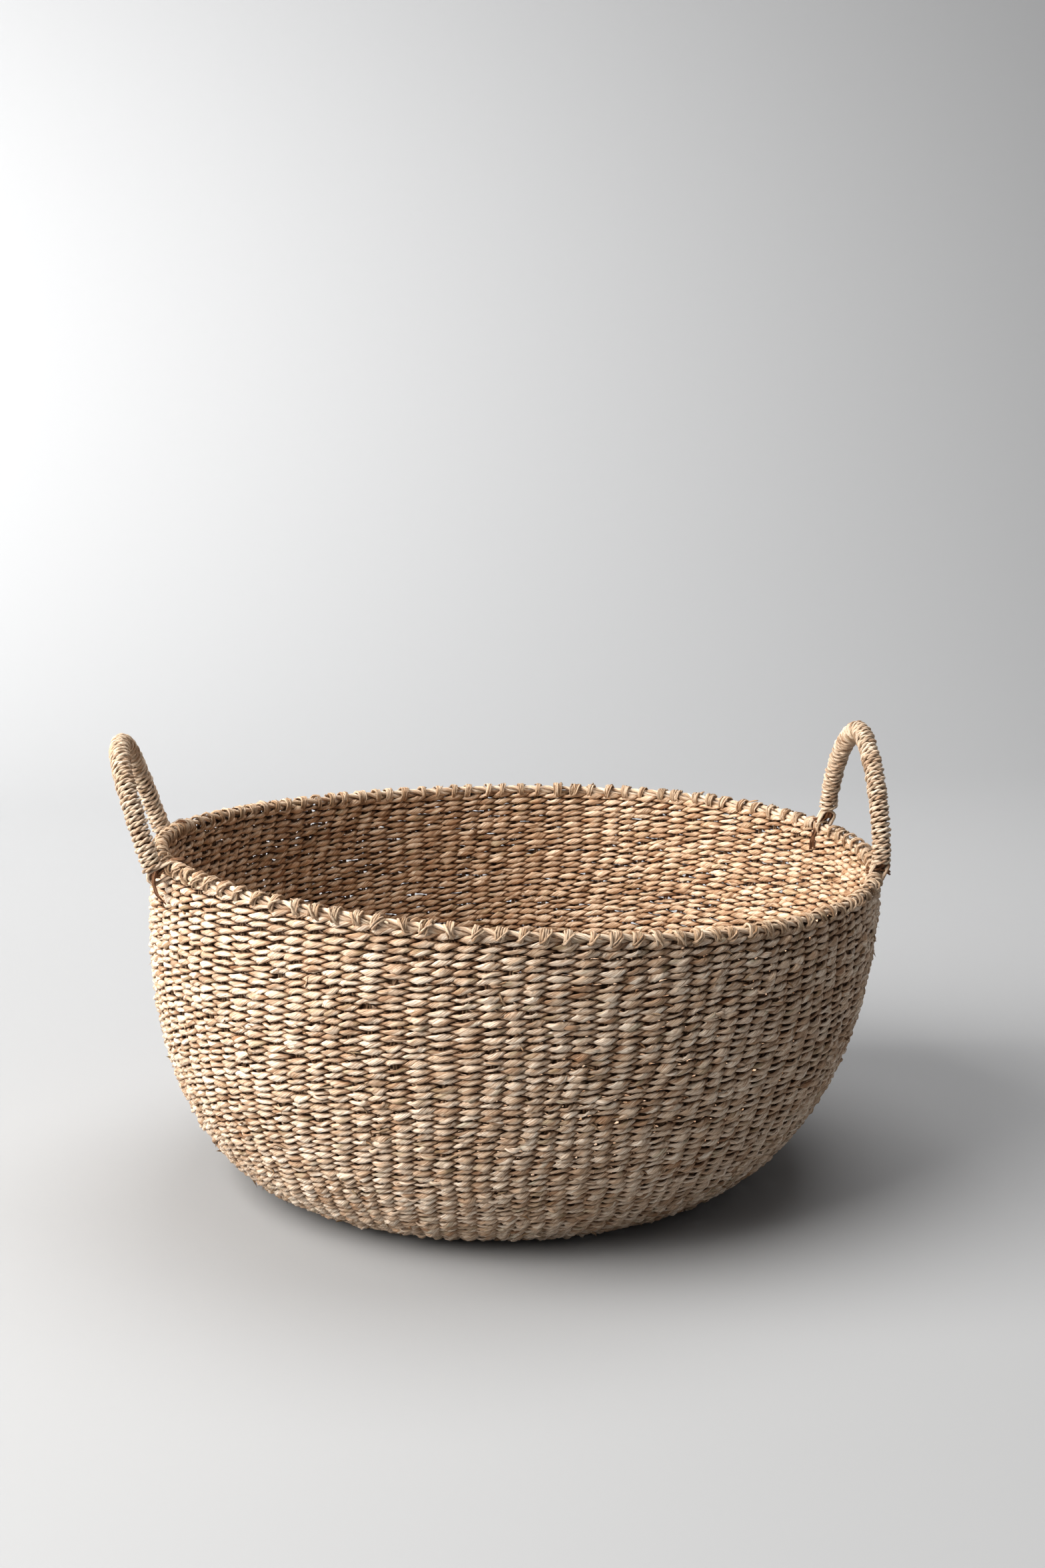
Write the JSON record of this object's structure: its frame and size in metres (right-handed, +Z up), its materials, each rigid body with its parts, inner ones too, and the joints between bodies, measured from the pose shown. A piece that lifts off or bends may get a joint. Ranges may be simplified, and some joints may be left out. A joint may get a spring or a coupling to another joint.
{
  "type": "woven floor basket",
  "caption": "Round open basket of twined seagrass with a soft bowl-shaped wall, a knotted rope rim and two wrapped carrying handles that swing on the rim.",
  "frame": {"origin": "middle of the base's underside, on the floor", "axes": "+X points at the right handle, +Y away from someone who faces the basket with that handle on the right, +Z up"},
  "size_m": [0.5446, 0.4959, 0.3186],
  "materials": {
    "seagrass_weave": "dry natural seagrass, matt, cream to tan with brown and grey-green streaks",
    "seagrass_rope": "twisted seagrass rope, matt",
    "wrapping_cord": "fine two-ply seagrass cord, pale, matt",
    "core_strands": "bundled brown seagrass leaf, matt"
  },
  "bodies": {
    "basket": {"base_start": "seagrass_weave", "base_weft_inner": "seagrass_weave", "base_weft_outer": "seagrass_weave", "wall_weft_1": "seagrass_weave", "wall_weft_2": "seagrass_weave", "wall_weft_3": "seagrass_weave", "wall_weft_4": "seagrass_weave", "wall_weft_5": "seagrass_weave", "wall_weft_6": "seagrass_weave", "rim_rope": "seagrass_rope", "right_front_foot_lashing": "wrapping_cord", "right_rear_foot_lashing": "wrapping_cord", "left_front_foot_lashing": "wrapping_cord", "left_rear_foot_lashing": "wrapping_cord", "right_front_core_tail": "core_strands", "right_rear_core_tail": "core_strands", "left_front_core_tail": "core_strands", "left_rear_core_tail": "core_strands"},
    "right_handle": {"right_handle_core": "core_strands", "right_handle_wrap": "wrapping_cord"},
    "left_handle": {"left_handle_core": "core_strands", "left_handle_wrap": "wrapping_cord"}
  },
  "joints": [
    {"name": "right_handle_swing", "type": "hinge", "parent": "basket", "child": "right_handle", "pos_m": [0.26078, -0.00174, 0.2193], "axis": [0.0562, 0.9978, 0.0353], "range_deg": [-45, 30]},
    {"name": "left_handle_swing", "type": "hinge", "parent": "basket", "child": "left_handle", "pos_m": [-0.22276, -0.00428, 0.24067], "axis": [-0.0563, -0.998, 0.0276], "range_deg": [-45, 10]}
  ]
}
